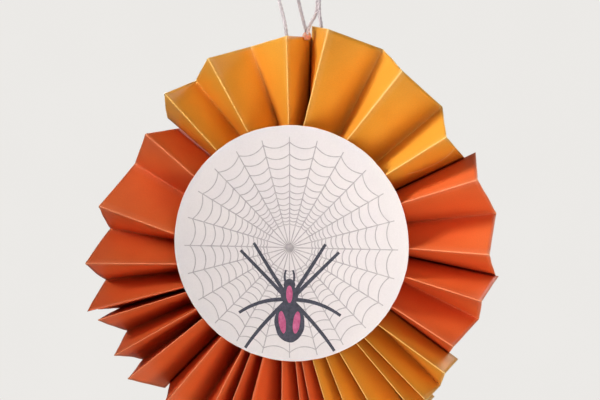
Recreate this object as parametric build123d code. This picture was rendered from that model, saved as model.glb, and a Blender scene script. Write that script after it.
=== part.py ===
from build123d import *
import os
from math import degrees, hypot, radians, sin, cos, sqrt, tan

os.makedirs("parts", exist_ok=True)

# A hanging rosette of five pleated paper fans under a round printed card.
# Millimetres and degrees. X is right, Z is up, and -Y is the front.
# The origin is where the eye of the string rests on its nail.
# Bearings are clockwise from up, seen from the front, about the rosette's hub.

# Paper sheets
sheet_width = 228.6           # the 9 inch side, folded in half across the pleats
pleat_depth = 38.1            # 1.5 inch pleats
paper_thickness = 0.25
crease_width = 0.6            # flat of a sharp fold
layer_thickness = 0.6         # of paper and glue, in the glued bundles
glued_length = 8.0            # how far the layers of a bundle stay shut
seam_gap = 0.3                # from a seam's middle to the paper on either side

# Round card on the front
card_width = 140.4            # a 5.5 inch round, cut by hand
card_height = 137.0
card_thickness = 0.4
card_right_of_hub = 7.3       # stuck on a little off centre
card_above_hub = 2.1
card_seat = 0.1               # glue film between the card and the highest folds
fold_bend_under_card = 9.0    # from the card's top edge in to where the folds bend

# Web and spider printed on the card
ink_thickness = 0.1
web_spokes = 24
web_rings = 8
web_sagging_rings = 5         # the small rings inside these are straight
web_margin = 7.5              # from the outermost ring to the card's edge
web_ring_ratio = 0.835        # each ring to the one outside it
web_sag = 0.93                # a thread's middle to its ends, from the web's centre
spoke_tail = 3.0              # of a spoke beyond the outermost ring
web_line_width = 0.5
web_hub = 1.5                 # the innermost cells' points, to where the spokes' sides meet
web_below_centre = 2.4
waist_above_edge = 34.5       # where the spider's two body parts meet, from the card's lower edge
abdomen_length = 23.5
abdomen_width = 18.0
thorax_length = 12.0
thorax_width = 10.5
body_overlap = 2.0            # of the thorax over the abdomen
head_width = 7.0
leg_width = 2.0
palp_width = 1.5
mark_length = 13.0
mark_width = 4.2
mark_spread = 4.3             # from the spider's middle line to a mark's middle
mark_tilt = 8.0

# One side's legs and palp, as points right of and above the waist
spider_legs = [
    [(2.0, 4.0), (12.0, 19.0), (21.5, 34.0)],
    [(2.0, 2.5), (15.0, 15.5), (29.5, 29.5)],
    [(2.0, 1.5), (17.5, 1.8), (30.5, -7.0)],
    [(2.0, 0.5), (18.5, -15.0), (26.8, -27.5)],
]
spider_palp = [(1.5, 10.0), (4.0, 14.2), (2.0, 18.6)]

# Glue
hub_glue_radius = 10.0        # how far the hub's glue spreads between the bundles
hub_glue_front = 6.0          # the glue's face stands this far behind the front folds
hub_glue_back = 10.0          # and this far inside the back folds
glue_film = 0.05

# String, with its points measured from the origin
nail_right_of_hub = 6.0
nail_above_hub = 202.0
string_diameter = 2.2
string_sides = 8              # flats that stand for its round section
bend_share = 0.45             # of the shorter run beside a point, taken by its arc
knot_height = 8.0
knot_radius = 4.0
knot_shoulder = 1.6
knot_below_nail = 22.0        # to the knot's middle
strands = {
    "string_left": [
        (-3.2, -8.0, -91.0), (-3.5, -7.4, -80.0), (-6.2, -5.0, -68.5), (-10.4, -3.0, -56.5),
        (-11.4, -2.0, -43.0), (-6.6, -1.5, -31.0), (-1.3, -1.2, -21.0),
    ],
    "string_middle": [
        (4.4, 9.1, -79.6), (1.7, 9.0, -70.0), (-0.8, 7.3, -57.5), (-3.4, 4.6, -44.5),
        (-3.1, 2.6, -32.0), (-1.3, 1.2, -21.0),
    ],
    "string_right": [
        (4.7, 6.4, -79.8), (5.8, 6.4, -73.3), (11.0, 6.6, -66.5), (11.2, 6.2, -55.5),
        (9.0, 3.8, -43.5), (4.8, 0.2, -32.0), (1.3, -1.2, -21.0),
    ],
    "string_right_rear": [
        (14.8, 2.8, -83.5), (15.0, 2.6, -75.0), (13.6, 4.4, -65.5), (13.6, 4.8, -54.5),
        (11.4, 4.9, -42.5), (6.4, 2.8, -31.5), (1.3, 1.2, -21.0),
    ],
}
dabs = {
    "rim_glue": {"point": (4.5, 7.7, -79.3), "radius": 3.2},
    "left_string_glue": {"point": (-3.2, -8.8, -90.5), "radius": 2.4},
    "right_string_glue": {"point": (14.3, 3.2, -83.0), "radius": 2.4},
}
string_eye = [
    (-1.4, 0.0, -20.0), (-9.2, 0.0, -6.9), (-4.6, 0.0, 1.1), (4.6, 0.0, 1.1), (9.2, 0.0, -6.9),
    (1.4, 0.0, -20.0),
]

# Each fan is one sheet: pleated, folded in half and glued at the join.
# The folds are read twice, at the rim and where they bend under the card.
# hub_bearing is the way that the glued bundle points, and hub_distance its end.
# crease_shift moves the fold in half off the sheet's middle: the half after the join gets longer.
# crease_slant makes each layer of that half shorter than the last, and of the other half longer.
fans = {
    "fan_top_yellow": {
        "rim": [-47, -38, -32.5, -21.5, -12.5, 2, 5, 13, 25.5, 35.5, 48, 57, 63.5],
        "under_card": [-44, -32.5, -25.5, -13, -5.5, 6.5, 8.5, 12, 23, 32, 45.5, 56, 62.5],
        "hub_bearing": 8, "hub_distance": 9.0, "crease_shift": 3.3, "crease_slant": 0.0,
    },
    "fan_right_orange": {
        "rim": [63.5, 71, 81, 91, 98, 103.5, 111, 118, 124],
        "under_card": [62.5, 69.5, 79, 88.5, 95, 100.5, 107.5, 114.5, 123],
        "hub_bearing": 74, "hub_distance": 9.5, "crease_shift": 0.8, "crease_slant": 0.4,
    },
    "fan_low_yellow": {
        "rim": [124, 125.5, 133, 134.5, 136.5, 139, 144, 148.5, 152.5, 156.5, 159.5, 162.5, 165.5],
        "under_card": [123, 126.5, 132.5, 135, 137, 139.5, 143.5, 148.5, 152, 155, 158.5, 162, 165],
        "hub_bearing": 130, "hub_distance": 10.0, "crease_shift": 1.0, "crease_slant": 0.0,
    },
    "fan_low_orange": {
        "rim": [165.5, 168, 170, 172, 175.5, 179, 185, 191.5, 195, 198, 201, 203.5, 210, 216.5, 222],
        "under_card": [165, 167.5, 169, 170.5, 174, 177.5, 181.5, 187, 190.5, 194, 196.5, 199, 205.5,
                       212, 218.5],
        "hub_bearing": 193, "hub_distance": 9.0, "crease_shift": 0.0, "crease_slant": 0.0,
    },
    "fan_left_orange": {
        "rim": [222, 229, 232.5, 236.5, 242, 247.5, 249, 250.5, 258, 264, 273, 281, 295, 308.5, 313],
        "under_card": [218.5, 226.5, 229, 232.5, 237.5, 243, 244.5, 246, 252.5, 259, 267, 274.5, 290,
                       308, 316],
        "hub_bearing": 262, "hub_distance": 5.5, "crease_shift": 3.6, "crease_slant": 2.0,
    },
}

half_paper = paper_thickness / 2
bend_radius = card_height / 2 - fold_bend_under_card
front_of_folds = pleat_depth / 2 + half_paper
card_back = front_of_folds + card_seat
card_front = card_back + card_thickness
web_radius = card_height / 2 - web_margin
waist_below_centre = card_height / 2 - waist_above_edge


def flat(bearing, radius):
    """Point at a bearing and radius, as (x, z)."""
    return radius * sin(radians(bearing)), radius * cos(radians(bearing))


def place(x, y, z):
    """Point measured from the hub, put in the part's frame."""
    return Vector(x - nail_right_of_hub, y, z - nail_above_hub)


def face_plane(depth, x=0.0, z=0.0):
    """Plane facing the front, this far in front of the hub's middle."""
    return Plane(origin=place(x, -depth, z), x_dir=(1, 0, 0), z_dir=(0, -1, 0))


def thicken(line, half_width):
    """Both sides of a band of even width whose middle is a line of points."""
    normals = []
    for (a, b), (c, d) in zip(line, line[1:]):
        length = hypot(c - a, d - b)
        normals.append(((b - d) / length, (c - a) / length))
    beside = [normals[0]] + normals + [normals[-1]]
    front, back = [], []
    for (across, depth), (n, m), (p, q) in zip(line, beside, beside[1:]):
        scale = half_width / (1 + n * p + m * q)
        front.append((across - (n + p) * scale, depth - (m + q) * scale))
        back.append((across + (n + p) * scale, depth + (m + q) * scale))
    return front, back


def panel(a, b, c, d):
    """Face on four corners: plane where they lie in one, otherwise ruled between its edges."""
    normal = (c - a).cross(d - b).normalized()
    if abs((b - a).dot(normal)) < 1e-9:
        return Face(Wire.make_polygon([a, b, c, d], close=True))
    return Face.make_bezier_surface([[a, b], [d, c]])


class Fan:
    """One pleated sheet, folded in half across its pleats. Its outer edges are valleys."""

    def __init__(self, rim, under_card, hub_bearing, hub_distance, crease_shift, crease_slant):
        self.rim, self.under_card = rim, under_card
        self.crease_shift, self.crease_slant = crease_shift, crease_slant
        self.layers = (len(rim) - 1) // 2
        self.hub_distance = hub_distance
        self.crease = hub_distance + self.layers * layer_thickness
        self.shut_to = self.crease + glued_length
        self.out = flat(hub_bearing, 1)
        self.across = (self.out[1], -self.out[0])

    def folds(self, side):
        """Folds of one half from the join outwards; side is -1 before the join and 1 after it."""
        return [self.layers + side * k for k in range(self.layers + 1)]

    def toward_front(self, fold):
        """-1 for a ridge, which stands toward the front, and 1 for a valley."""
        return -1 if fold % 2 else 1

    def bundle_point(self, side, across, depth, along=None):
        """Point of the shut layers; without along, on the mitre where they turn over the join."""
        along = self.crease - across if along is None else along
        x = along * self.out[0] + side * across * self.across[0]
        z = along * self.out[1] + side * across * self.across[1]
        return place(x, depth, z)

    def bundle_rows(self, side):
        """Faces of the shut layers of one half, where they open and where they turn."""
        line = []
        for k, fold in enumerate(self.folds(side)):
            depth = self.toward_front(fold) * pleat_depth / 2
            edges = [k - 0.5, k + 0.5]
            line += [(edge * layer_thickness, depth) for edge in edges if 0 < edge < self.layers]
        faces = thicken(line, half_paper)
        return [[[self.bundle_point(side, a, d, along) for a, d in face] for face in faces]
                for along in (self.shut_to, None)]

    def rim_radius(self, side, fold):
        """Radius of a fold at the rim, from the paper left between the fold in half and the rim."""
        layer = abs(fold - self.layers)
        across = max(layer, 0.5) * layer_thickness
        opening = [self.shut_to * o + side * across * a for o, a in zip(self.out, self.across)]
        bend = flat(self.under_card[fold], bend_radius)
        half_width = sheet_width / 2 + side * (self.crease_shift - self.crease_slant * layer)
        left = half_width - 2 * across - glued_length
        left -= hypot(bend[0] - opening[0], bend[1] - opening[1])
        toward = flat(self.rim[fold], 1)
        along = bend[0] * toward[0] + bend[1] * toward[1]
        beside = bend[0] * toward[1] - bend[1] * toward[0]
        return along + sqrt(left ** 2 - beside ** 2)

    def depth(self, bearings, fold, radius):
        """Depth of a fold, from how far the pleats beside it are open."""
        near = bearings[max(0, fold - 1):fold + 2]
        widths = [radius * radians(b - a) for a, b in zip(near, near[1:])]
        heights = [sqrt(pleat_depth ** 2 - width ** 2) for width in widths]
        return self.toward_front(fold) * sum(heights) / len(heights) / 2

    def open_row(self, side, bearings, radii):
        """Faces of one half where its folds, from the join outwards, have these radii."""
        middle, bases = [], []
        for k, (fold, radius) in enumerate(zip(self.folds(side), radii)):
            arc = side * radius * radians(bearings[fold])
            if k == 0:
                edges = [seam_gap]
            elif k == self.layers:
                edges = [-seam_gap - half_paper]
            else:
                edges = [-crease_width / 2, crease_width / 2]
            depth = self.depth(bearings, fold, radius)
            middle += [(arc + edge, depth) for edge in edges]
            bases += [radius] * len(edges)
        faces = []
        for face in thicken(middle, half_paper):
            points = []
            for (arc, depth), radius in zip(face, bases):
                x, z = flat(side * degrees(arc / radius), radius)
                points.append(place(x, depth, z))
            faces.append(points)
        return faces

    def half_rows(self, side):
        """Faces of one half at each station from the rim to the fold in half."""
        folds = self.folds(side)
        rim = self.open_row(side, self.rim, [self.rim_radius(side, fold) for fold in folds])
        bend = self.open_row(side, self.under_card, [bend_radius] * len(folds))
        return [rim, bend] + self.bundle_rows(side)

    def solid(self):
        rows = self.half_rows(-1) + self.half_rows(1)[::-1]
        faces = []
        for near, far in zip(rows, rows[1:]):
            for a, b in zip(near, far):
                faces += [panel(a[k], a[k + 1], b[k + 1], b[k]) for k in range(len(a) - 1)]
            for k in (0, -1):
                faces.append(panel(near[0][k], near[1][k], far[1][k], far[0][k]))
        for front, back in (rows[0], rows[-1]):
            for k in range(len(front) - 1):
                faces.append(panel(front[k], front[k + 1], back[k + 1], back[k]))
        return Solid(Shell(faces))


def make_card():
    plane = face_plane(card_back, card_right_of_hub, card_above_hub)
    return extrude(plane * Ellipse(card_width / 2, card_height / 2), card_thickness)


def ink_layer(drawing, layer):
    """Flat drawing about the card's centre, laid as the given layer of ink on the card."""
    plane = face_plane(card_front + layer * ink_thickness, card_right_of_hub, card_above_hub)
    return extrude(plane * drawing, ink_thickness, dir=(0, -1, 0))


def web_drawing():
    """Spokes and rings of thread, as one face with a hole for each cell."""
    half_line = web_line_width / 2
    step = 360 / web_spokes
    radii = [web_radius * web_ring_ratio ** ring for ring in range(web_rings)]

    def beside_spoke(spoke, side, radius):
        x, z = flat(spoke * step, radius)
        across = flat(spoke * step + 90, side * half_line)
        return x + across[0], z + across[1] - web_below_centre

    def between_spokes(spoke, radius):
        x, z = flat((spoke + 0.5) * step, radius)
        return x, z - web_below_centre

    def thread(spoke, ring, side):
        """Outer (1) or inner (-1) edge of a ring's thread, from this spoke to the next."""
        aside = side * half_line
        edge = [beside_spoke(spoke, 1, radii[ring] + aside)]
        if ring < web_sagging_rings:
            edge.append(between_spokes(spoke, radii[ring] * web_sag + aside))
        return edge + [beside_spoke(spoke + 1, -1, radii[ring] + aside)]

    outline = []
    holes = []
    hub_radius = half_line / sin(radians(step / 2))
    for spoke in range(web_spokes):
        outline += [beside_spoke(spoke, side, web_radius + spoke_tail) for side in (-1, 1)]
        outline += thread(spoke, 0, 1)
        for ring in range(web_rings - 1):
            holes.append(thread(spoke, ring, -1) + thread(spoke, ring + 1, 1)[::-1])
        holes.append(thread(spoke, web_rings - 1, -1) + [between_spokes(spoke, web_hub * hub_radius)])
    wires = [Wire.make_polygon(points, close=True) for points in [outline] + holes]
    return Face(wires[0], wires[1:])


def limb(points, width):
    """Jointed limb of even width."""
    right, left = thicken(points, width / 2)
    return Polygon(*right, *left[::-1], align=None)


def spider_drawing():
    body = Pos(0, -abdomen_length / 2) * Ellipse(abdomen_width / 2, abdomen_length / 2)
    body += Pos(0, thorax_length / 2 - body_overlap) * Ellipse(thorax_width / 2, thorax_length / 2)
    body += Pos(0, thorax_length - body_overlap) * Circle(head_width / 2)
    for side in (-1, 1):
        for points in spider_legs:
            body += limb([(side * x, z) for x, z in points], leg_width)
        body += limb([(side * x, z) for x, z in spider_palp], palp_width)
    return Pos(0, -waist_below_centre) * body


def marks_drawing():
    mark = Rot(0, 0, -mark_tilt) * Ellipse(mark_width / 2, mark_length / 2)
    mark = Pos(mark_spread, -abdomen_length / 2) * mark
    marks = mark + mirror(mark, Plane.YZ)
    return Pos(0, -waist_below_centre) * marks


def make_hub_glue(fan_list):
    """Glue in the five-sided hole between the ends of the bundles."""
    depth = 2 * front_of_folds - hub_glue_front - hub_glue_back
    glue = extrude(face_plane(hub_glue_back - front_of_folds) * Circle(hub_glue_radius), depth)
    for fan in fan_list:
        reach = 2 * hub_glue_radius
        edge = fan.hub_distance - half_paper - glue_film
        middle = [(edge + reach / 2) * part for part in fan.out]
        plane = Plane(origin=place(middle[0], 0, middle[1]), x_dir=(fan.out[0], 0, fan.out[1]),
                      z_dir=(0, -1, 0))
        glue -= plane * Box(reach, 2 * reach, 2 * pleat_depth)
    return glue


def string_tube(points):
    """String along straight runs joined by arcs, with its expected volume, length and radii."""
    spots = [Vector(*point) for point in points]
    radii = []
    for a, b, c in zip(spots, spots[1:], spots[2:]):
        shorter = min((b - a).length, (c - b).length)
        turn = radians((b - a).get_angle(c - b))
        radii.append(bend_share * shorter / tan(turn / 2))
    path = FilletPolyline(*spots, radius=radii)
    outline = RegularPolygon(string_diameter / 2, string_sides, major_radius=False)
    section = Plane(origin=path @ 0, z_dir=path % 0) * outline
    return sweep(section, path=path), section.area * path.length, path.length, radii


def make_knot():
    """Knot that gathers the strands, just under the eye."""
    knot = Cylinder(knot_radius, knot_height)
    rims = knot.edges().filter_by(GeomType.CIRCLE)
    return Pos(0, 0, -knot_below_nail) * chamfer(rims, knot_shoulder)


def make_dab(name, pieces):
    """Dab of glue on the paper round the end of a strand, moulded to what it holds."""
    dab = Pos(*dabs[name]["point"]) * Sphere(dabs[name]["radius"])
    for piece in pieces:
        dab -= piece
    return max(dab.solids(), key=lambda solid: solid.volume)


if __name__ == "__main__":
    models = {}
    fan_list = [Fan(**values) for values in fans.values()]
    for name, fan in zip(fans, fan_list):
        models[name] = fan.solid()
    models["card"] = make_card()
    models["web_print"] = ink_layer(web_drawing(), 0)
    models["spider_print"] = ink_layer(spider_drawing(), 1)
    models["spider_marks_print"] = ink_layer(marks_drawing(), 2)
    models["hub_glue"] = make_hub_glue(fan_list)
    knot = make_knot()
    for name, points in {**strands, "string_eye": string_eye}.items():
        tube, volume, length, radii = string_tube(points)
        print(name, "length", round(length, 1), "arcs", [round(radius, 1) for radius in radii],
              "volume", round(tube.volume, 1), "of", round(volume, 1))
        models[name] = tube
        knot -= tube
    models["string_knot"] = knot
    top = models["fan_top_yellow"]
    models["rim_glue"] = make_dab("rim_glue", [top, models["string_middle"], models["string_right"]])
    models["left_string_glue"] = make_dab("left_string_glue", [top, models["string_left"]])
    models["right_string_glue"] = make_dab("right_string_glue", [top, models["string_right_rear"]])
    for name, model in models.items():
        solids = model.solids()
        print(name, len(solids), all(solid.is_valid for solid in solids), round(model.volume, 1))
        export_step(model, f"parts/{name}.step")
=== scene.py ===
import math

import bmesh
import bpy
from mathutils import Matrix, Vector, noise


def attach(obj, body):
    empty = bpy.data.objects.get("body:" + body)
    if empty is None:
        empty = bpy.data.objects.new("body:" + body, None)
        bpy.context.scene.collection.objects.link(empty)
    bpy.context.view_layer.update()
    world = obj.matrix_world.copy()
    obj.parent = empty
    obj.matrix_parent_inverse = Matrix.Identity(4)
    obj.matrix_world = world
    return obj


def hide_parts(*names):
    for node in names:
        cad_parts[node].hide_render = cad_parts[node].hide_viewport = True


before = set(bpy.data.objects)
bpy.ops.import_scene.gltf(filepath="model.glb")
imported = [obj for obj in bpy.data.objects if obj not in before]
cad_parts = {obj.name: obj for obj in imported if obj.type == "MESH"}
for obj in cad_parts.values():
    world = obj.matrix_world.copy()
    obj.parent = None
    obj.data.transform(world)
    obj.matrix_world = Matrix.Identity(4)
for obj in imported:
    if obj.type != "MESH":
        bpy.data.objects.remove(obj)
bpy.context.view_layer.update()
mm = 0.001

rosette = {
    "hub": Vector((-6.0, 0.0, -202.0)),          # from the nail, in mm like every size without a unit
    "pleatDepth": 38.1,
    "sheetWidth": 228.6,                         # folded in half across the pleats
    "paperThickness": 0.25,
    "layerThickness": 0.6,                       # of paper and glue, in the bundles at the hub
    "gluedLength": 8.0,
    "joinGap": 0.12,                             # from the join's middle to the paper on either side
    "sheetGap": 0.03,                            # the same between two sheets
    "bendRadius": 59.5,                          # the folds turn towards their bundle under the card
}


# Shared helpers

def linear(hexColour):
    # The linear values of an sRGB hex colour.
    channels = [int(hexColour[start:start + 2], 16) / 255 for start in (1, 3, 5)]
    channels = [part / 12.92 if part <= 0.04045 else ((part + 0.055) / 1.055) ** 2.4 for part in channels]
    return (*channels, 1.0)


def addNode(tree, kind, settings=None, **inputs):
    # A new node: settings are its properties, inputs its sockets, by name or by i and a number, each with a
    # value or a socket to link. A map range has its value as i0, what that spans as i1 and i2 and what it
    # becomes as i3 and i4. A colour mix has its share as i0 and its colours as i6 and i7.
    node = tree.nodes.new(kind)
    for name, value in (settings or {}).items():
        setattr(node, name, value)
    for name, value in inputs.items():
        socket = node.inputs[int(name[1:]) if name[1:].isdigit() else name.replace("_", " ")]
        if isinstance(value, bpy.types.NodeSocket):
            tree.links.new(value, socket)
        else:
            socket.default_value = value
    return node


def newMaterial(name, **shaderValues):
    # A material with its node tree and its shader, whose sockets are set by name.
    material = bpy.data.materials.new(name)
    material.use_nodes = True
    tree = material.node_tree
    shader = tree.nodes["Principled BSDF"]
    for socket, value in shaderValues.items():
        shader.inputs[socket.replace("_", " ")].default_value = value
    return material, tree, shader


def newCurve(name, radius=0.0, corners=0):
    data = bpy.data.curves.new(name, "CURVE")
    data.dimensions = "3D"
    data.bevel_depth = radius
    data.bevel_resolution = corners
    data.use_fill_caps = True
    return data


def addSmoothLine(data, places, radii):
    # A spline of order 3 starts and ends at its end points and leans towards the ones between.
    spline = data.splines.new("NURBS")
    spline.points.add(len(places) - 1)
    for point, place, radius in zip(spline.points, places, radii):
        point.co = (*place, 1)
        point.radius = radius
    spline.order_u = 3
    spline.use_endpoint_u = True


def curveMesh(data):
    # The curve's shape as a new mesh.
    drawn = bpy.data.objects.new(data.name, data)
    bpy.context.scene.collection.objects.link(drawn)
    bpy.context.view_layer.update()
    mesh = bpy.data.meshes.new_from_object(drawn.evaluated_get(bpy.context.evaluated_depsgraph_get()))
    bpy.data.objects.remove(drawn)
    return mesh


def placeAimed(name, data, place, direction):
    # A camera or a lamp that looks along a direction.
    item = bpy.data.objects.new(name, data)
    item.location = place
    item.rotation_mode = "QUATERNION"
    item.rotation_quaternion = direction.to_track_quat("-Z", "Y")
    bpy.context.scene.collection.objects.link(item)
    return item


def finishPiece(name, bm, material, replaced, smooth=True):
    # A piece of the part's one body, which stands in for the solids named in replaced.
    mesh = bpy.data.meshes.new(name)
    bm.to_mesh(mesh)
    bm.free()
    piece = bpy.data.objects.new(name, mesh)
    bpy.context.scene.collection.objects.link(piece)
    mesh.materials.append(material)
    for polygon in mesh.polygons:
        polygon.use_smooth = smooth
    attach(piece, "root")
    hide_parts(*replaced)
    return piece


# Camera

camera = {
    "azimuth": 15.0,             # degrees, from the front towards the right
    "elevation": 3.0,
    "distance": 1050.0,
    "aim": Vector((2.3, 0.0, -175.7)),
    "lens": 107.2,
    "sight": 20.0,               # metres that it sees
}


def placeCamera():
    turn = math.radians(camera["azimuth"])
    rise = math.radians(camera["elevation"])
    back = Vector((math.sin(turn) * math.cos(rise), -math.cos(turn) * math.cos(rise), math.sin(rise)))
    data = bpy.data.cameras.new("camera")
    data.lens = camera["lens"]
    data.clip_end = camera["sight"]
    place = (camera["aim"] + back * camera["distance"]) * mm
    bpy.context.scene.camera = placeAimed("camera", data, place, -back)


placeCamera()
print("camera placed")


# String

# Each strand's route in metres, from the rosette up to the knot, and the eye's, from the knot round to it.
routes = {
    "string_left": [(-0.0032, -0.0080, -0.0910), (-0.0035, -0.0074, -0.0800), (-0.0062, -0.0050, -0.0685),
                    (-0.0104, -0.0030, -0.0565), (-0.0114, -0.0020, -0.0430), (-0.0066, -0.0015, -0.0310),
                    (-0.0013, -0.0012, -0.0210)],
    "string_middle": [(0.0044, 0.0091, -0.0796), (0.0017, 0.0090, -0.0700), (-0.0008, 0.0073, -0.0575),
                      (-0.0034, 0.0046, -0.0445), (-0.0031, 0.0026, -0.0320), (-0.0013, 0.0012, -0.0210)],
    "string_right": [(0.0047, 0.0064, -0.0798), (0.0058, 0.0064, -0.0733), (0.0110, 0.0066, -0.0665),
                     (0.0112, 0.0062, -0.0555), (0.0090, 0.0038, -0.0435), (0.0048, 0.0002, -0.0320),
                     (0.0013, -0.0012, -0.0210)],
    "string_right_rear": [(0.0148, 0.0028, -0.0835), (0.0147, 0.0026, -0.0750), (0.0126, 0.0044, -0.0655),
                          (0.0127, 0.0048, -0.0545), (0.0110, 0.0049, -0.0425), (0.0064, 0.0028, -0.0315),
                          (0.0013, 0.0012, -0.0210)],
    "string_eye": [(-0.0014, 0.0000, -0.0200), (-0.0092, 0.0000, -0.0069), (-0.0046, 0.0000, 0.0011),
                   (0.0046, 0.0000, 0.0011), (0.0092, 0.0000, -0.0069), (0.0014, 0.0000, -0.0200)],
}
string = {
    "diameter": 2.2,
    "lengths": {"string_left": 73.4, "string_middle": 60.2, "string_right": 62.5, "string_right_rear": 65.3,
                "string_eye": 55.0},
    "plies": 3,
    "plyRadius": 0.56,
    "plyOffset": 0.54,           # of a ply's middle from the string's
    "turn": 8.0,                 # along the string for one turn of its plies
    "step": 0.45,                # along the string between a ply's points
    "looseness": 0.12,           # share of its offset that a ply strays
    "loosePace": 0.06,           # of that noise for each step
    "swelling": 0.1,             # share of its radius that a ply thickens and thins
    "swellPace": 0.11,
    "knotMiddle": Vector((0.0, 0.0, -22.0)),
    "knotTurns": 2.6,
    "knotCorners": 8,            # points for each turn
    "knotReach": 2.75,           # from the knot's middle line to the middle of a turn
    "knotUneven": 0.06,          # share of its reach that a turn strays
    "knotPace": 0.5,             # of that noise for each point
    "knotTuck": 0.45,            # share of its reach at which the first turn starts
    "knotRise": 5.2,
    "knotTilt": 0.45,            # up one side of a turn and down the other
    "knotTiltTurn": 0.8,         # radians
    "grey": "#D2C8D2",
    "white": "#EFE8EB",
    "fluffSize": 0.3846,
    "patchSize": 4.167,
    "fluffDepth": 0.15,
}


def makeCotton():
    # Twisted cotton: soft and matt, with a sheen of loose fibres at grazing angles and grey flecks.
    material, tree, shader = newMaterial("twisted cotton string", Roughness=0.9, Specular_IOR_Level=0.15,
                                         Sheen_Weight=0.45, Sheen_Roughness=0.5)
    place = addNode(tree, "ShaderNodeTexCoord").outputs["Object"]
    fluff = addNode(tree, "ShaderNodeTexNoise", Vector=place, Scale=1000 / string["fluffSize"], Detail=4.0,
                    Roughness=0.7).outputs[0]
    patch = addNode(tree, "ShaderNodeTexNoise", Vector=place, Scale=1000 / string["patchSize"],
                    Detail=2.0).outputs[0]
    tint = addNode(tree, "ShaderNodeMix", {"data_type": "RGBA"}, i0=patch, i6=linear(string["grey"]),
                   i7=linear(string["white"])).outputs[2]
    shade = addNode(tree, "ShaderNodeMapRange", i0=fluff, i1=0.3, i2=0.65, i3=0.78, i4=1.0).outputs[0]
    colour = addNode(tree, "ShaderNodeMix", {"data_type": "RGBA", "blend_type": "MULTIPLY"}, i0=1.0,
                     i6=tint, i7=shade).outputs[2]
    bump = addNode(tree, "ShaderNodeBump", Strength=0.6, Distance=string["fluffDepth"] * mm,
                   Height=fluff).outputs[0]
    tree.links.new(colour, shader.inputs["Base Color"])
    tree.links.new(bump, shader.inputs["Normal"])
    return material


def routeLine(points):
    # The smooth line of a route, as many close points.
    data = newCurve("route")
    data.resolution_u = 24
    addSmoothLine(data, points, [1.0] * len(points))
    return [vert.co.copy() for vert in curveMesh(data).vertices]


def evenly(line, step):
    # The same line as evenly spaced points.
    lengths = [0.0]
    for a, b in zip(line, line[1:]):
        lengths.append(lengths[-1] + (b - a).length)
    count = max(2, round(lengths[-1] / step))
    spaced = []
    at = 0
    for index in range(count + 1):
        goal = lengths[-1] * index / count
        while at < len(line) - 2 and lengths[at + 1] < goal:
            at += 1
        spaced.append(line[at].lerp(line[at + 1], (goal - lengths[at]) / (lengths[at + 1] - lengths[at])))
    return spaced


def twistedString(name, points, seed):
    # Plies wound round the route, as one mesh, and the line that it follows. What a ply or the seed is
    # multiplied by or added to only sets its noise apart from the others', here and for the other pieces.
    line = routeLine(points)
    spaced = evenly(line, string["step"] * mm)
    data = newCurve(name, string["plyRadius"] * mm, corners=2)
    step = (spaced[1] - spaced[0]).length / mm
    for ply in range(string["plies"]):
        spline = data.splines.new("POLY")
        spline.points.add(len(spaced) - 1)
        side = Vector((0, 1, 0))
        for index, place in enumerate(spaced):
            along = (spaced[min(index + 1, len(spaced) - 1)] - spaced[max(index - 1, 0)]).normalized()
            side = (side - along * side.dot(along)).normalized()
            angle = 2 * math.pi * (ply / string["plies"] + index * step / string["turn"])
            out = side * math.cos(angle) + along.cross(side) * math.sin(angle)
            stray = noise.noise(Vector((index * string["loosePace"], ply * 3.0, seed)))
            slack = 1 + string["looseness"] * stray
            swell = noise.noise(Vector((index * string["swellPace"], ply * 5.0, seed + 9)))
            spline.points[index].co = (*(place + out * string["plyOffset"] * slack * mm), 1)
            spline.points[index].radius = 1 + string["swelling"] * swell
    bm = bmesh.new()
    bm.from_mesh(curveMesh(data))
    piece = finishPiece(name + "_plies", bm, cotton, [name])
    return piece, line


def knotRoute():
    # Uneven turns round the strands, from inside the knot's foot to its top.
    count = string["knotTurns"] * string["knotCorners"]
    points = []
    for index in range(int(count) + 1):
        share = index / count
        angle = 2 * math.pi * index / string["knotCorners"]
        stray = noise.noise(Vector((index * string["knotPace"], 0, 0)))
        reach = string["knotReach"] * (1 + string["knotUneven"] * stray)
        reach *= string["knotTuck"] if index == 0 else 1
        tilt = string["knotTilt"] * math.sin(angle + string["knotTiltTurn"])
        rise = string["knotRise"] * (share - 0.5) + tilt
        turned = Vector((reach * math.cos(angle), reach * math.sin(angle), rise))
        points.append((string["knotMiddle"] + turned) * mm)
    return points


cotton = makeCotton()
knot = twistedString("string_knot", knotRoute(), 7)[0]
for seed, (name, points) in enumerate(routes.items()):
    piece, line = twistedString(name, points, seed)
print("string twisted")


# Paper

paper = {
    # Each paper's palest colour is what its wear and its painted highlights pale it to
    "yellow": {"lit": "#F7B440", "deep": "#EA9824", "wornAndLit": "#FBDF9C", "kinkHighlight": 0.5},
    "orange": {"lit": "#EF7638", "deep": "#DF5826", "wornAndLit": "#FBB38A", "kinkHighlight": 0.0},
    "roughness": 0.5,
    "fibreLength": 1.5,          # the real fibres are finer, this is as fine as shows
    "fibreWidth": 0.6,
    "fibreContrast": (0.94, 1.04),
    "fibreDepth": 0.1,
    "cloudSize": 34.0,           # patches where the dye took unevenly
    "crackAndHighlightWidth": 0.9,           # of cracked dye along a sharp fold, and of the painted highlight along a ridge
    "ridgeCrackAndHighlight": 0.5,           # how pale it is along a ridge, from cracked dye and a painted highlight
    "valleyCrack": 0.1,
    "highlightWidth": 4.5,             # on each side of every fold, of painted highlight that pales the paper
    "highlightStrength": 0.16,
    "cutEdge": 0.7,              # of paler paper along the cut rim
    "cutStrength": 0.75,
    "tipLength": 3.0,            # down a fold from the rim that is bruised pale
    "tipStrength": 0.5,
    # A curved kink, painted as a pale highlight along it: an arc on the flat sheet, from its corner, that
    # fades in between two places across it
    "kink": {"middle": (189.7, 208.2), "radius": 26.8, "fadeFrom": 205.5, "fadeTo": 209.5, "width": 1.3},
}


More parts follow.
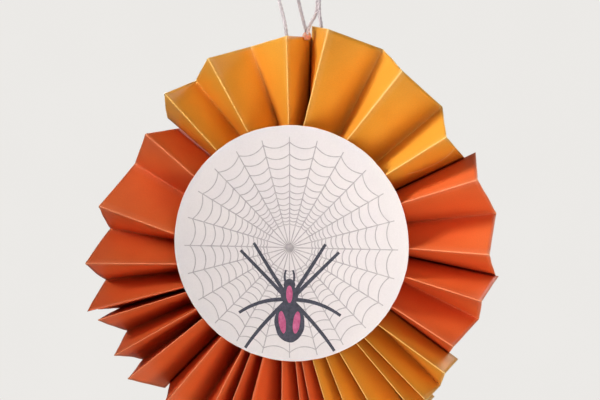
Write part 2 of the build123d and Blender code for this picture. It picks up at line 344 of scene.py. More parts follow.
def addWearAndHighlights(tree, place, colours):
    # How much paler the paper is at a place on the flat sheet, from 0 to 1: worn dye, and painted
    # highlights along the ridges, beside every fold and along a kink. Distances from folds are in pleats.
    parts = addNode(tree, "ShaderNodeSeparateXYZ", Vector=place)
    pleats = addNode(tree, "ShaderNodeMath", {"operation": "DIVIDE"}, i0=parts.outputs["X"],
                     i1=rosette["pleatDepth"] * mm).outputs[0]
    offFold = addNode(tree, "ShaderNodeMath", {"operation": "PINGPONG"}, i0=pleats, i1=0.5).outputs[0]
    shifted = addNode(tree, "ShaderNodeMath", {"operation": "ADD"}, i0=pleats, i1=1.0).outputs[0]
    offRidge = addNode(tree, "ShaderNodeMath", {"operation": "PINGPONG"}, i0=shifted, i1=1.0).outputs[0]
    offRim = addNode(tree, "ShaderNodeMath", {"operation": "PINGPONG"}, i0=parts.outputs["Y"],
                     i1=rosette["sheetWidth"] / 2 * mm).outputs[0]
    kink = paper["kink"]
    fromMiddle = addNode(tree, "ShaderNodeVectorMath", {"operation": "DISTANCE"}, i0=place,
                         i1=[size * mm for size in (*kink["middle"], 0)]).outputs["Value"]
    aside = addNode(tree, "ShaderNodeMath", {"operation": "SUBTRACT"}, i0=fromMiddle,
                    i1=kink["radius"] * mm).outputs[0]
    aside = addNode(tree, "ShaderNodeMath", {"operation": "ABSOLUTE"}, i0=aside).outputs[0]
    beyond = addNode(tree, "ShaderNodeMapRange", i0=parts.outputs["X"], i1=kink["fadeFrom"] * mm,
                     i2=kink["fadeTo"] * mm, i3=kink["width"] * mm, i4=0.0).outputs[0]
    offKink = addNode(tree, "ShaderNodeMath", {"operation": "ADD"}, i0=aside, i1=beyond).outputs[0]

    wearAndHighlight = 0.0
    paleLineReach = paper["crackAndHighlightWidth"] / rosette["pleatDepth"]
    for distance, reach, strength in (
            # along a ridge cracked dye and a painted highlight, along a valley cracked dye
            (offRidge, paleLineReach, paper["ridgeCrackAndHighlight"]),
            (offFold, paleLineReach, paper["valleyCrack"]),
            # a wide painted highlight on each side of every fold
            (offFold, paper["highlightWidth"] / rosette["pleatDepth"], paper["highlightStrength"]),
            (offRim, paper["cutEdge"] * mm, paper["cutStrength"]),
            # a painted highlight along the kink
            (offKink, kink["width"] * mm, colours["kinkHighlight"])):
        fade = addNode(tree, "ShaderNodeMapRange", {"interpolation_type": "SMOOTHSTEP"}, i0=distance,
                       i1=0.0, i2=reach, i3=strength, i4=0.0).outputs[0]
        wearAndHighlight = addNode(tree, "ShaderNodeMath", {"operation": "MAXIMUM"}, i0=wearAndHighlight, i1=fade).outputs[0]
    nearRim = addNode(tree, "ShaderNodeMapRange", i0=offRim, i1=0.0, i2=paper["tipLength"] * mm,
                      i3=paper["tipStrength"], i4=0.0).outputs[0]
    nearFold = addNode(tree, "ShaderNodeMapRange", i0=offFold, i1=0.0,
                       i2=paper["tipLength"] / rosette["pleatDepth"], i3=1.0, i4=0.0).outputs[0]
    tips = addNode(tree, "ShaderNodeMath", {"operation": "MULTIPLY"}, i0=nearRim, i1=nearFold).outputs[0]
    return addNode(tree, "ShaderNodeMath", {"operation": "ADD", "use_clamp": True}, i0=wearAndHighlight,
                   i1=tips).outputs[0]


def makePaper(name, colours):
    # Sugar paper: dyed in the pulp, with a faint pressed shine, and paler where a fold has cracked the dye
    # and where highlights are painted along the folds and a kink.
    material, tree, shader = newMaterial(name, Roughness=paper["roughness"], Specular_IOR_Level=0.5)
    place = addNode(tree, "ShaderNodeUVMap", {"uv_map": "sheet"}).outputs["UV"]
    stretched = addNode(tree, "ShaderNodeMapping", Vector=place,
                        Scale=(1000 / paper["fibreLength"], 1000 / paper["fibreWidth"], 1)).outputs[0]
    fibre = addNode(tree, "ShaderNodeTexNoise", Vector=stretched, Scale=1.0, Detail=4.0,
                    Roughness=0.65).outputs[0]
    cloud = addNode(tree, "ShaderNodeTexNoise", Vector=place, Scale=1000 / paper["cloudSize"],
                    Detail=3.0).outputs[0]
    base = addNode(tree, "ShaderNodeMix", {"data_type": "RGBA"}, i0=cloud, i6=linear(colours["deep"]),
                   i7=linear(colours["lit"])).outputs[2]
    fleck = addNode(tree, "ShaderNodeMapRange", i0=fibre, i1=0.35, i2=0.7, i3=paper["fibreContrast"][0],
                    i4=paper["fibreContrast"][1]).outputs[0]
    flecked = addNode(tree, "ShaderNodeMix", {"data_type": "RGBA", "blend_type": "MULTIPLY"}, i0=1.0,
                      i6=base, i7=fleck).outputs[2]
    # Paled towards its palest colour by wear and by painted highlights
    wearAndHighlight = addWearAndHighlights(tree, place, colours)
    patchy = addNode(tree, "ShaderNodeMapRange", i0=fibre, i1=0.3, i2=0.62, i3=0.6, i4=1.0).outputs[0]
    patchyPaling = addNode(tree, "ShaderNodeMath", {"operation": "MULTIPLY"}, i0=wearAndHighlight, i1=patchy).outputs[0]
    wornAndLit = addNode(tree, "ShaderNodeMix", {"data_type": "RGBA"}, i0=patchyPaling, i6=flecked,
                   i7=linear(colours["wornAndLit"])).outputs[2]
    bump = addNode(tree, "ShaderNodeBump", Strength=0.22, Distance=paper["fibreDepth"] * mm,
                   Height=fibre).outputs[0]
    tree.links.new(wornAndLit, shader.inputs["Base Color"])
    tree.links.new(bump, shader.inputs["Normal"])
    return material


yellowPaper = makePaper("yellow sugar paper", paper["yellow"])
orangePaper = makePaper("orange sugar paper", paper["orange"])
print("paper dyed")


# Fans

# Bearings of each sheet's folds in degrees, clockwise from up, at the rim and under the card. Odd folds are
# ridges. A bundle starts hubDistance from the hub, towards hubBearing. The fold in half is creaseShift off
# the sheet's middle, less creaseSlant for each layer from the join.
fans = {
    "fan_top_yellow": {
        "rim": [-47, -38, -32.5, -21.5, -12.5, 2, 5, 13, 25.5, 35.5, 48, 57, 63.5],
        "underCard": [-44, -32.5, -25.5, -13, -5.5, 6.5, 8.5, 12, 23, 32, 45.5, 56, 62.5],
        "hubBearing": 8, "hubDistance": 9.0, "creaseShift": 3.3, "creaseSlant": 0.0,
        "paper": yellowPaper, "slot": "yellow_paper",
    },
    "fan_right_orange": {
        "rim": [63.5, 71, 81, 91, 98, 103.5, 111, 118, 124],
        "underCard": [62.5, 69.5, 79, 88.5, 95, 100.5, 107.5, 114.5, 123],
        "hubBearing": 74, "hubDistance": 9.5, "creaseShift": 0.8, "creaseSlant": 0.4,
        "paper": orangePaper, "slot": "orange_paper",
    },
    "fan_low_yellow": {
        "rim": [124, 125.5, 133, 134.5, 136.5, 139, 144, 148.5, 152.5, 156.5, 159.5, 162.5, 165.5],
        "underCard": [123, 126.5, 132.5, 135, 137, 139.5, 143.5, 148.5, 152, 155, 158.5, 162, 165],
        "hubBearing": 130, "hubDistance": 10.0, "creaseShift": 1.0, "creaseSlant": 0.0,
        "paper": yellowPaper, "slot": "yellow_paper",
    },
    "fan_low_orange": {
        "rim": [165.5, 168, 170, 172, 175.5, 179, 185, 191.5, 195, 198, 201, 203.5, 210, 216.5, 222],
        "underCard": [165, 167.5, 169, 170.5, 174, 177.5, 181.5, 187, 190.5, 194, 196.5, 199, 205.5, 212,
                      218.5],
        "hubBearing": 193, "hubDistance": 9.0, "creaseShift": 0.0, "creaseSlant": 0.0,
        "paper": orangePaper, "slot": "orange_paper",
    },
    "fan_left_orange": {
        "rim": [222, 229, 232.5, 236.5, 242, 247.5, 249, 250.5, 258, 264, 273, 281, 295, 308.5, 313],
        "underCard": [218.5, 226.5, 229, 232.5, 237.5, 243, 244.5, 246, 252.5, 259, 267, 274.5, 290, 308,
                      316],
        "hubBearing": 262, "hubDistance": 5.5, "creaseShift": 3.6, "creaseSlant": 2.0,
        "paper": orangePaper, "slot": "orange_paper",
    },
}
folding = {
    "across": [-1.0, -0.6, -0.3, 0.0, 0.3, 0.6, 1.0],    # places round a fold, in shares of its roundness
    "panelSteps": 14,            # across a panel
    "openSteps": 26,             # from the rim to the bend
    "bendSteps": 10,             # from the bend to the bundle
    "bundleSteps": 2,
    "foldRound": 1.5,            # of each panel that is curved into a fold
    "bow": 1.6,                  # that an open panel may bow at the rim
    "cockle": 0.7,               # of waviness in the rim
    "cockleAcross": 2.3,         # of that noise for each pleat
    "cockleAlong": 0.03,         # of it for each mm from the rim
    "unworn": 0.15,              # share of a pleat that keeps the sheet's own edges clear of a fold's wear
}


def onDisc(bearing, radius, depth):
    # A place by its bearing and its distance from the hub's middle line.
    angle = math.radians(bearing)
    return Vector((radius * math.sin(angle), depth, radius * math.cos(angle)))


def foldLines(fan):
    # For each half, each fold from the join outwards as four points: at the rim, at its bend, at the mouth
    # of the bundle and where the sheet is folded in half.
    layers = (len(fan["rim"]) - 1) // 2
    out = onDisc(fan["hubBearing"], 1, 0)
    beside = Vector((out.z, 0, -out.x))
    creaseAt = fan["hubDistance"] + layers * rosette["layerThickness"]
    mouthAt = creaseAt + rosette["gluedLength"]
    lines = []
    for side in (-1, 1):
        half = []
        for layer in range(layers + 1):
            fold = layers + side * layer
            forward = -1 if fold % 2 else 1
            stack = max(layer, 0.5) * rosette["layerThickness"]
            flat = Vector((0, forward * rosette["pleatDepth"] / 2, 0))
            mouth = out * mouthAt + beside * side * stack + flat
            turn = out * (creaseAt - stack) + beside * side * stack + flat
            bend = onDisc(fan["underCard"][fold], rosette["bendRadius"], 0)
            # What the sheet's width leaves for the open part, from the bend to the rim
            length = rosette["sheetWidth"] / 2 + side * (fan["creaseShift"] - fan["creaseSlant"] * layer)
            length -= 2 * stack + rosette["gluedLength"] + (bend - mouth + flat).length
            toward = onDisc(fan["rim"][fold], 1, 0)
            along = bend.dot(toward)
            radius = along + math.sqrt(length ** 2 - (bend - toward * along).length ** 2)
            # The narrower the panels beside a fold are spread, the further it stands out
            ends = []
            for bearings, reach in ((fan["rim"], radius), (fan["underCard"], rosette["bendRadius"])):
                near = bearings[max(0, fold - 1):fold + 2]
                gaps = [reach * math.radians(b - a) for a, b in zip(near, near[1:])]
                heights = [math.sqrt(rosette["pleatDepth"] ** 2 - gap ** 2) for gap in gaps]
                aside = side * rosette["joinGap"] if layer == 0 else 0
                aside -= side * rosette["sheetGap"] if layer == layers else 0
                bearing = bearings[fold] + math.degrees(aside / reach)
                ends.append(onDisc(bearing, reach, forward * sum(heights) / len(heights) / 2))
            half.append(ends + [mouth, turn])
        lines.append(half)

    # The halves are glued at the join, so the longer one runs on in the line of the shorter.
    shorter, longer = sorted((half[0] for half in lines), key=lambda line: (line[0] - line[1]).length)
    longer[0] = longer[1] + (shorter[0] - shorter[1]).normalized() * (longer[0] - longer[1]).length
    return lines


def acrossFolds(folds):
    # One row of the sheet: points over its folds, each rounded into its panels, with each point's place
    # counted in pleats.
    reach = folding["foldRound"]
    points = [folds[0]]
    places = [0.0]
    for index in range(len(folds) - 1):
        panel = folds[index + 1] - folds[index]
        width = panel.length
        for step in range(1, folding["panelSteps"]):
            share = step / folding["panelSteps"]
            points.append(folds[index] + panel * (reach + share * (width - 2 * reach)) / width)
            places.append(index + share)
        if index == len(folds) - 2:
            continue
        after = (folds[index + 2] - folds[index + 1]).normalized()
        before = -panel.normalized()
        tip = folds[index + 1] - (before + after) * reach / 4
        for share in folding["across"]:
            onBefore = before * reach * ((1 - share) / 2) ** 2
            onAfter = after * reach * ((1 + share) / 2) ** 2
            points.append(tip + onBefore + onAfter)
            places.append(index + 1 + share * reach / width)
    points.append(folds[-1])
    places.append(len(folds) - 1.0)
    return points, places


def sheetPoints(lines, seed):
    # The sheet row by row, from the rim of one half in to the fold in half and out to the rim of the other:
    # each point with its place across the pleats and its distance along the sheet. That distance is true
    # where the sheet is open, which is all that shows.
    steps = []
    for section, count in enumerate((folding["openSteps"], folding["bendSteps"], folding["bundleSteps"])):
        steps += [(section, step / count) for step in range(count)]
    rows = [(0, *step) for step in steps] + [(0, 2, 1.0)] + [(1, *step) for step in steps[::-1]]
    sheet = []
    for half, section, share in rows:
        folds = [line[section].lerp(line[section + 1], share) for line in lines[half]]
        points, places = acrossFolds(folds)
        openLength = (lines[half][0][0] - lines[half][0][1]).length
        fromRim = openLength * (section + share)
        if half:
            fromRim = rosette["sheetWidth"] - fromRim
        openness = max(0, 1 - section - share)
        for point, place in zip(points, places):
            panel = min(int(place), len(folds) - 2)
            hill = math.sin(math.pi * (place - panel))
            inward = lines[half][panel][1] - lines[half][panel][0]
            flatSide = (folds[panel + 1] - folds[panel]).cross(inward)
            bow = folding["bow"] * noise.noise(Vector((seed * 7.3, panel * 3.1, half * 5.7)))
            wave = folding["cockle"] * noise.noise(Vector((
                place * folding["cockleAcross"], fromRim * folding["cockleAlong"], seed * 4.1 + half)))
            lift = hill * openness * (bow + openness * wave)
            sheet.append((rosette["hub"] + point + flatSide.normalized() * lift, place, fromRim))
    return sheet, len(rows)


def makeFan(nodeName, fan, seed):
    lines = foldLines(fan)
    panels = len(lines[0]) - 1
    sheet, rowCount = sheetPoints(lines, seed)
    bm = bmesh.new()
    bmesh.ops.create_grid(bm, x_segments=len(sheet) // rowCount - 1, y_segments=rowCount - 1, size=1.0)

    # The UV map lays the sheet flat, in metres, with its ridges at odd numbers of pleats
    uvLayer = bm.loops.layers.uv.new("sheet")
    ordered = sorted(bm.verts, key=lambda vert: (round(vert.co.y, 5), vert.co.x))
    uvs = {}
    for vert, (point, place, fromRim) in zip(ordered, sheet):
        vert.co = point * mm
        inside = min(max(place, folding["unworn"]), panels - folding["unworn"])
        uvs[vert] = ((inside + panels % 2) * rosette["pleatDepth"] * mm, fromRim * mm)
    for face in bm.faces:
        for loop in face.loops:
            loop[uvLayer].uv = uvs[loop.vert]
    piece = finishPiece(nodeName + "_paper", bm, fan["paper"], [nodeName])
    solid = piece.modifiers.new("paper thickness", "SOLIDIFY")
    solid.thickness = rosette["paperThickness"] * mm
    solid.offset = 0
    print("fan", nodeName, len(piece.data.polygons), "faces")


for seed, (nodeName, fan) in enumerate(fans.items()):
    makeFan(nodeName, fan, seed)


# Card

card = {
    "centre": Vector((7.3, 0.0, 2.1)),           # from the hub
    "front": 19.675,                             # the face stands this far in front of the hub's middle
    "width": 140.4,
    "height": 137.0,
    "thickness": 0.4,
    "corners": 220,                              # of its outline
    "scissorError": 0.005,                       # share of its radius that the hand-cut edge wanders
    "wanderPace": 3.1,                           # of that noise round the edge
    "nickPace": 9.7,
    "edgeRound": 0.07,
    "inkStep": 0.1,                              # between two inks laid on each other
    "face": "#E8E2E1",
    "ground": "#D9D4D9",
    "core": "#FFF1DE",
    "coreShade": "#E9DCC8",
    "toothSize": 0.7143,
    "cloudSize": 35.71,
    "fraySize": 0.4,
    "toothDepth": 0.08,
}


def makeCardMaterials():
    # Inkjet card: matt, a little uneven where its pale grey ground was printed, with a cream core at the
    # cut.
    face, tree, shader = newMaterial("matt printed card", Roughness=0.62, Specular_IOR_Level=0.35)
    place = addNode(tree, "ShaderNodeTexCoord").outputs["Object"]
    tooth = addNode(tree, "ShaderNodeTexNoise", Vector=place, Scale=1000 / card["toothSize"],
                    Detail=3.0).outputs[0]
    cloud = addNode(tree, "ShaderNodeTexNoise", Vector=place, Scale=1000 / card["cloudSize"],
                    Detail=4.0).outputs[0]
    tint = addNode(tree, "ShaderNodeMix", {"data_type": "RGBA"}, i0=cloud, i6=linear(card["ground"]),
                   i7=linear(card["face"])).outputs[2]
    grain = addNode(tree, "ShaderNodeMapRange", i0=tooth, i1=0.3, i2=0.7, i3=0.955, i4=1.0).outputs[0]
    grained = addNode(tree, "ShaderNodeMix", {"data_type": "RGBA", "blend_type": "MULTIPLY"}, i0=1.0,
                      i6=tint, i7=grain).outputs[2]
    bump = addNode(tree, "ShaderNodeBump", Strength=0.12, Distance=card["toothDepth"] * mm,
                   Height=tooth).outputs[0]
    tree.links.new(grained, shader.inputs["Base Color"])
    tree.links.new(bump, shader.inputs["Normal"])

    core, tree, shader = newMaterial("cut card edge", Roughness=0.85)
    place = addNode(tree, "ShaderNodeTexCoord").outputs["Object"]
    frayed = addNode(tree, "ShaderNodeTexNoise", Vector=place, Scale=1000 / card["fraySize"],
                     Detail=2.0).outputs[0]
    cream = addNode(tree, "ShaderNodeMix", {"data_type": "RGBA"}, i0=frayed, i6=linear(card["coreShade"]),
                    i7=linear(card["core"])).outputs[2]
    bump = addNode(tree, "ShaderNodeBump", Strength=0.4, Distance=card["toothDepth"] * mm,
                   Height=frayed).outputs[0]
    tree.links.new(cream, shader.inputs["Base Color"])
    tree.links.new(bump, shader.inputs["Normal"])
    return face, core


def onCard(x, z, layer):
    # A place on the card's face, in metres, from x and z off its centre and a count of the inks under it.
    return (rosette["hub"] + card["centre"] + Vector((x, -card["front"] - layer * card["inkStep"], z))) * mm


def makeCard():
    face, core = makeCardMaterials()
    bm = bmesh.new()
    bmesh.ops.create_circle(bm, cap_ends=True, segments=card["corners"], radius=1.0)
    for vert in bm.verts:
        outward = vert.co.normalized()
        nick = abs(noise.noise(outward * card["nickPace"] + Vector((5, 0, 0))))
        wander = 1 + card["scissorError"] * (noise.noise(outward * card["wanderPace"]) - nick)
        vert.co = onCard(vert.co.x * card["width"] / 2 * wander, vert.co.y * card["height"] / 2 * wander, 0)
    bmesh.ops.recalc_face_normals(bm, faces=bm.faces)
    grown = bmesh.ops.extrude_face_region(bm, geom=list(bm.faces))
    back = [item for item in grown["geom"] if isinstance(item, bmesh.types.BMVert)]
    bmesh.ops.translate(bm, verts=back, vec=(0, card["thickness"] * mm, 0))
    bmesh.ops.recalc_face_normals(bm, faces=bm.faces)
    rims = [edge for edge in bm.edges if abs(edge.verts[0].co.y - edge.verts[1].co.y) < 1e-7]
    bmesh.ops.bevel(bm, geom=rims, offset=card["edgeRound"] * mm, offset_type="OFFSET", segments=2,
                    profile=0.5, affect="EDGES", material=-1)
    piece = finishPiece("card_round", bm, face, ["card"], smooth=False)
    piece.data.materials.append(core)
    for polygon in piece.data.polygons:
        polygon.material_index = 0 if abs(polygon.normal.y) > 0.6 else 1    # what looks sideways is the cut
    print("card", len(piece.data.polygons), "faces")


makeCard()


# Printed web and spider

web = {
    "centre": (0.0, -2.4),                       # from the card's centre
    "spokes": 24,
    "rings": 13,
    "outerRing": 61.0,
    "ringRatio": 0.885,                          # of each ring to the one outside it
    "sag": 0.955,                                # of the ring's radius, at the middle of a thread
    "spokeStart": 2.6,
    "spokeEnd": 64.0,
    "spokeBend": 0.3,                            # degrees that a spoke's middle lies aside
    "line": 0.8,
    "spokeTaper": (0.8, 1.0, 0.8),               # shares of the line's width along it
    "threadTaper": (0.8, 0.75, 0.8),
    "inkDepth": 0.09,
    "unevenness": 0.6,                           # that the drawn rings stray
    "patchCorners": 56,                          # of a patch of ink's outline
    "patchPace": 2.3,                            # of the noise round it
}
spider = {
    "waist": (0.0, -34.0),
    "legs": [
        [(2.0, 4.0), (12.0, 19.0), (21.5, 34.0)],
        [(2.0, 2.5), (15.0, 15.5), (29.5, 29.5)],
        [(2.0, 1.5), (17.5, 1.8), (30.5, -7.0)],
        [(2.0, 0.5), (18.5, -15.0), (26.8, -27.5)],
    ],
    "legWidth": 2.3,
    "legTaper": (1.15, 1.1, 0.85),
    "palp": [(1.5, 10.0), (4.0, 14.2), (2.0, 18.6)],
    "palpWidth": 1.5,
    "palpTaper": (1.0, 1.1, 0.8),
    # Each oval's x and z from the waist and its half sizes, then a mark's tilt in degrees
    "body": [(0.0, -11.75, 9.0, 11.75), (0.0, 4.0, 5.25, 6.0), (0.0, 10.0, 3.5, 3.5)],
    "marks": [(4.3, -11.75, 2.1, 6.5, -8.0), (-4.3, -11.75, 2.1, 6.5, 8.0), (0.0, 4.6, 1.9, 5.0, 0.0)],
    "bodyStep": 0.1,                             # in inks, that each oval stands above the last
    "marksLayer": 2.3,
}
# Each ink's dark and pale shade and the size of its patches
inks = {
    "pale grey print": ("#A8A2A7", "#C5BFC1", 4.0),
    "slate print": ("#3A3B46", "#545563", 2.5),
    "magenta print": ("#A8456F", "#C97097", 3.0),
}


def makeInk(name, dark, pale, patch):
    # Printer's ink sunk into card: no gloss of its own, thin in places so that the card greys it.
    material, tree, shader = newMaterial(name, Roughness=0.7, Specular_IOR_Level=0.25)
    place = addNode(tree, "ShaderNodeTexCoord").outputs["Object"]
    cloud = addNode(tree, "ShaderNodeTexNoise", Vector=place, Scale=1000 / patch, Detail=5.0,
                    Roughness=0.7).outputs[0]
    thin = addNode(tree, "ShaderNodeMapRange", i0=cloud, i1=0.32, i2=0.68).outputs[0]
    tint = addNode(tree, "ShaderNodeMix", {"data_type": "RGBA"}, i0=thin, i6=linear(dark),
                   i7=linear(pale)).outputs[2]
    tree.links.new(tint, shader.inputs["Base Color"])
    return material


def drawLines(bm, name, lines, width, taper, layer):
    # Ink lines as curves on the card, made a mesh and pressed flat.
    data = newCurve(name, width / 2 * mm, corners=1)
    data.resolution_u = 6
    for points in lines:
        addSmoothLine(data, [onCard(x, z, layer) for x, z in points], taper)
    mesh = curveMesh(data)
    base = onCard(0, 0, layer).y
    for vert in mesh.vertices:
        vert.co.y = base + (vert.co.y - base) * web["inkDepth"] / width - web["inkDepth"] / 2 * mm
    bm.from_mesh(mesh)


def addPatch(bm, x, z, halfWidth, halfHeight, tilt, layer, edge):
    # A patch of ink: an oval whose outline strays by edge, a share of its size.
    made = bmesh.ops.create_circle(bm, cap_ends=True, segments=web["patchCorners"], radius=1.0)["verts"]
    turn = math.radians(tilt)
    for vert in made:
        wander = 1 + edge * noise.noise(vert.co * web["patchPace"] + Vector((x, z, 0)))
        across = vert.co.x * halfWidth * wander
        up = vert.co.y * halfHeight * wander
        vert.co = onCard(x + across * math.cos(turn) - up * math.sin(turn),
                         z + across * math.sin(turn) + up * math.cos(turn), layer)
    faces = list({face for vert in made for face in vert.link_faces})
    grown = bmesh.ops.extrude_face_region(bm, geom=faces)
    top = [item for item in grown["geom"] if isinstance(item, bmesh.types.BMVert)]
    bmesh.ops.translate(bm, verts=top, vec=(0, -web["inkDepth"] * mm, 0))


def makeWeb(ink):
    step = 360 / web["spokes"]
    cx, cz = web["centre"]

    def spot(bearing, radius):
        return cx + radius * math.sin(math.radians(bearing)), cz + radius * math.cos(math.radians(bearing))

    spokes = []
    for spoke in range(web["spokes"]):
        middle = spot(spoke * step + web["spokeBend"], web["outerRing"] / 2)
        spokes.append([spot(spoke * step, web["spokeStart"]), middle, spot(spoke * step, web["spokeEnd"])])

    # A thread's middle point draws it only half of the way in, so it lies in twice as far as the sag.
    threads = []
    for ring in range(web["rings"]):
        radius = web["outerRing"] * web["ringRatio"] ** ring
        stray = [web["unevenness"] * noise.noise(Vector((spoke * 1.7, ring * 2.9, 0)))
                 for spoke in range(web["spokes"])]
        stray.append(stray[0])
        for spoke in range(web["spokes"]):
            middle = radius * (2 * web["sag"] - 1) + (stray[spoke] + stray[spoke + 1]) / 2
            threads.append([spot(spoke * step, radius + stray[spoke]), spot((spoke + 0.5) * step, middle),
                            spot((spoke + 1) * step, radius + stray[spoke + 1])])
    bm = bmesh.new()
    drawLines(bm, "spokes", spokes, web["line"], web["spokeTaper"], 0)
    drawLines(bm, "threads", threads, web["line"], web["threadTaper"], 0)
    addPatch(bm, cx, cz, web["spokeStart"], web["spokeStart"], tilt=0, layer=0.2, edge=0.1)
    piece = finishPiece("web_lines", bm, ink, ["web_print"])
    print("web", len(piece.data.polygons), "faces")


def makeSpider(ink, markInk):
    wx, wz = spider["waist"]
    legs = [[(wx + side * x, wz + z) for x, z in leg] for side in (-1, 1) for leg in spider["legs"]]
    palps = [[(wx + side * x, wz + z) for x, z in spider["palp"]] for side in (-1, 1)]
    bm = bmesh.new()
    drawLines(bm, "legs", legs, spider["legWidth"], spider["legTaper"], 1)
    drawLines(bm, "palps", palps, spider["palpWidth"], spider["palpTaper"], 1)
    for count, (x, z, halfWidth, halfHeight) in enumerate(spider["body"], 1):
        layer = 1 + spider["bodyStep"] * count
        addPatch(bm, wx + x, wz + z, halfWidth, halfHeight, tilt=0, layer=layer, edge=0.03)
    bmesh.ops.recalc_face_normals(bm, faces=bm.faces)
    finishPiece("spider_body", bm, ink, ["spider_print"], smooth=False)
    bm = bmesh.new()
    for x, z, halfWidth, halfHeight, tilt in spider["marks"]:
        addPatch(bm, wx + x, wz + z, halfWidth, halfHeight, tilt, spider["marksLayer"], edge=0.06)
    bmesh.ops.recalc_face_normals(bm, faces=bm.faces)
    finishPiece("spider_marks", bm, markInk, ["spider_marks_print"], smooth=False)
    print("spider drawn")


greyInk, darkInk, redInk = [makeInk(name, *values) for name, values in inks.items()]
makeWeb(greyInk)
makeSpider(darkInk, redInk)


# Glue

glue = {
    "dark": "#E39A78",
    "pale": "#F6CDB8",
    "cloudSize": 2.4,
    "clouded": 0.3,                              # depth of the bumps that come with the clouds
    "seeThrough": 2.0,                           # distance that light gets inside
    "longestEdge": 1.2,                          # that isn't cut in three before the smoothing
    "rounds": 3,                                 # of smoothing, where the dab set
    "lump": 0.175,                               # that a dab swells and dips
    "lumpSize": 2.2,
    "shrink": {"rim_glue": 0.8, "left_string_glue": 0.9, "right_string_glue": 0.9, "hub_glue": 1.0},
}


def makeGlueMaterial():
    # Hot-melt adhesive: waxy, cloudy and a little see-through, tinted by the paper under it.
    material, tree, shader = newMaterial("hot-melt adhesive", Roughness=0.34, Subsurface_Weight=0.35,
                                         Subsurface_Scale=glue["seeThrough"] * mm, IOR=1.47)
    place = addNode(tree, "ShaderNodeTexCoord").outputs["Object"]
    cloud = addNode(tree, "ShaderNodeTexNoise", Vector=place, Scale=1000 / glue["cloudSize"],
                    Detail=2.0).outputs[0]
    share = addNode(tree, "ShaderNodeMapRange", i0=cloud, i1=0.3, i2=0.7).outputs[0]
    tint = addNode(tree, "ShaderNodeMix", {"data_type": "RGBA"}, i0=share, i6=linear(glue["dark"]),
                   i7=linear(glue["pale"])).outputs[2]
    bump = addNode(tree, "ShaderNodeBump", Strength=0.3, Distance=glue["clouded"] * mm,
                   Height=cloud).outputs[0]
    tree.links.new(tint, shader.inputs["Base Color"])
    tree.links.new(bump, shader.inputs["Normal"])
    return material


def makeDab(nodeName, material):
    # A dab keeps the shape that the paper and the string pressed into it, with its sharp cuts melted round.
    bm = bmesh.new()
    bm.from_mesh(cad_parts[nodeName].data)
    bmesh.ops.remove_doubles(bm, verts=bm.verts, dist=1e-6)
    long = [edge for edge in bm.edges if edge.calc_length() > glue["longestEdge"] * mm]
    bmesh.ops.subdivide_edges(bm, edges=long, cuts=2, use_grid_fill=True)
    bmesh.ops.triangulate(bm, faces=bm.faces)
    for _ in range(glue["rounds"]):
        bmesh.ops.smooth_vert(bm, verts=bm.verts, factor=0.5, use_axis_x=True, use_axis_y=True,
                              use_axis_z=True)
    bmesh.ops.recalc_face_normals(bm, faces=bm.faces)
    middle = sum((vert.co for vert in bm.verts), Vector()) / len(bm.verts)
    for vert in bm.verts:
        swell = glue["lump"] * mm * noise.noise(vert.co / (glue["lumpSize"] * mm))
        vert.co = middle + (vert.co - middle) * glue["shrink"][nodeName] + vert.normal * swell
    finishPiece(nodeName + "_blob", bm, material, [nodeName])


hotGlue = makeGlueMaterial()
for nodeName in glue["shrink"]:
    makeDab(nodeName, hotGlue)
print("glue set")


# Floor and backdrop, lamps and world

# In metres, the lamps from the hub and the rest from the nail
studio = {
    "floorBelow": 0.72,
    "backdropBehind": 1.5,
    "halfWidth": 2.5,
    "wallHeight": 3.2,
    "coveRadius": 0.5,
    "coveSteps": 12,
    "colour": "#EDEBE8",
    "shade": "#EAE8E5",
    "mottleSize": 0.1667,
    "worldStrength": 0.11,
    # Each lamp's place and aim, then its size, power, spread in degrees and colour
    "lamps": {
        "key": ((-0.8, -0.9, 0.8), (0.38, 0, 0.08), 0.5, 1.75, 38, "#FFFAF4"),
        "near right": ((0.3, -0.5, 0.25), (0, 0, 0), 0.3, 0.8, 180, "#FFFAF4"),
        "near low": ((0.3, -0.45, -0.25), (0, 0, 0), 0.3, 1.9, 180, "#FFFAF4"),
        "back": ((0.7, 1.2, 0.9), (0, 0, 0), 0.8, 9.0, 180, "#FFFFFF"),
    },
}


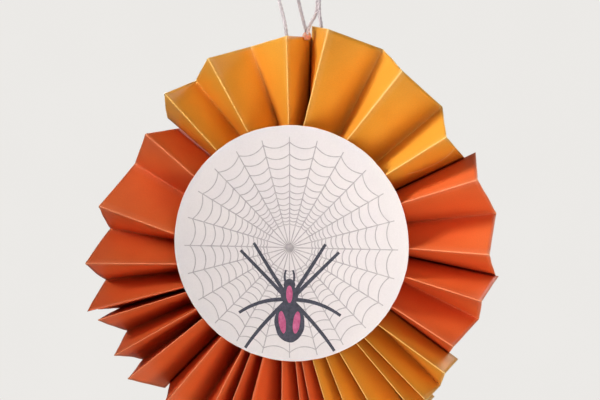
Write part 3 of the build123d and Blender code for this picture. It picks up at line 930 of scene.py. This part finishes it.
def makeBackdropPaper():
    # Painted paper: matt and faintly mottled, and to the camera as pale as it is painted.
    material, tree, shader = newMaterial("painted paper backdrop", Roughness=0.9, Specular_IOR_Level=0.0)
    place = addNode(tree, "ShaderNodeTexCoord").outputs["Object"]
    mottle = addNode(tree, "ShaderNodeTexNoise", Vector=place, Scale=1 / studio["mottleSize"],
                     Detail=3.0).outputs[0]
    paint = addNode(tree, "ShaderNodeMix", {"data_type": "RGBA"}, i0=mottle, i6=linear(studio["shade"]),
                    i7=linear(studio["colour"])).outputs[2]
    seen = addNode(tree, "ShaderNodeLightPath").outputs["Is Camera Ray"]
    unlit = addNode(tree, "ShaderNodeMix", {"data_type": "RGBA"}, i0=seen, i6=paint,
                    i7=linear("#000000")).outputs[2]
    tree.links.new(unlit, shader.inputs["Base Color"])
    tree.links.new(paint, shader.inputs["Emission Color"])
    tree.links.new(seen, shader.inputs["Emission Strength"])
    return material


def makeStage():
    # A sheet that lies on the floor and rises behind in one sweep.
    front = -studio["halfWidth"]
    behind = studio["backdropBehind"]
    floor = -studio["floorBelow"]
    bm = bmesh.new()
    edge = bm.edges.new([bm.verts.new((side * studio["halfWidth"], front, floor)) for side in (-1, 1)])
    for move in ((0, behind - front, 0), (0, 0, studio["wallHeight"])):
        grown = bmesh.ops.extrude_edge_only(bm, edges=[edge])["geom"]
        verts = [item for item in grown if isinstance(item, bmesh.types.BMVert)]
        bmesh.ops.translate(bm, verts=verts, vec=move)
        edge = [item for item in grown if isinstance(item, bmesh.types.BMEdge)][0]
    corner = [edge for edge in bm.edges if all(abs(vert.co.y - behind) < 1e-4 and
                                               abs(vert.co.z - floor) < 1e-4 for vert in edge.verts)]
    bmesh.ops.bevel(bm, geom=corner, offset=studio["coveRadius"], offset_type="OFFSET",
                    segments=studio["coveSteps"], profile=0.5, affect="EDGES", material=-1)
    bmesh.ops.recalc_face_normals(bm, faces=bm.faces)
    mesh = bpy.data.meshes.new("cove")
    bm.to_mesh(mesh)
    bm.free()
    mesh.materials.append(makeBackdropPaper())
    for polygon in mesh.polygons:
        polygon.use_smooth = True
    cove = bpy.data.objects.new("cove", mesh)
    bpy.context.scene.collection.objects.link(cove)


def addLamp(name, place, aim, size, power, spread, colour):
    data = bpy.data.lights.new(name, "AREA")
    data.size = size
    data.energy = power
    data.spread = math.radians(spread)
    data.color = linear(colour)[:3]
    placeAimed(name, data, rosette["hub"] * mm + Vector(place), Vector(aim) - Vector(place))


makeStage()
for name, settings in studio["lamps"].items():
    addLamp(name, *settings)

world = bpy.data.worlds.new("studio")
bpy.context.scene.world = world
world.use_nodes = True
background = world.node_tree.nodes["Background"]
background.inputs["Color"].default_value = linear("#FFFFFF")
background.inputs["Strength"].default_value = studio["worldStrength"]

bpy.context.scene.view_settings.view_transform = "Standard"
print("stage and lamps placed")
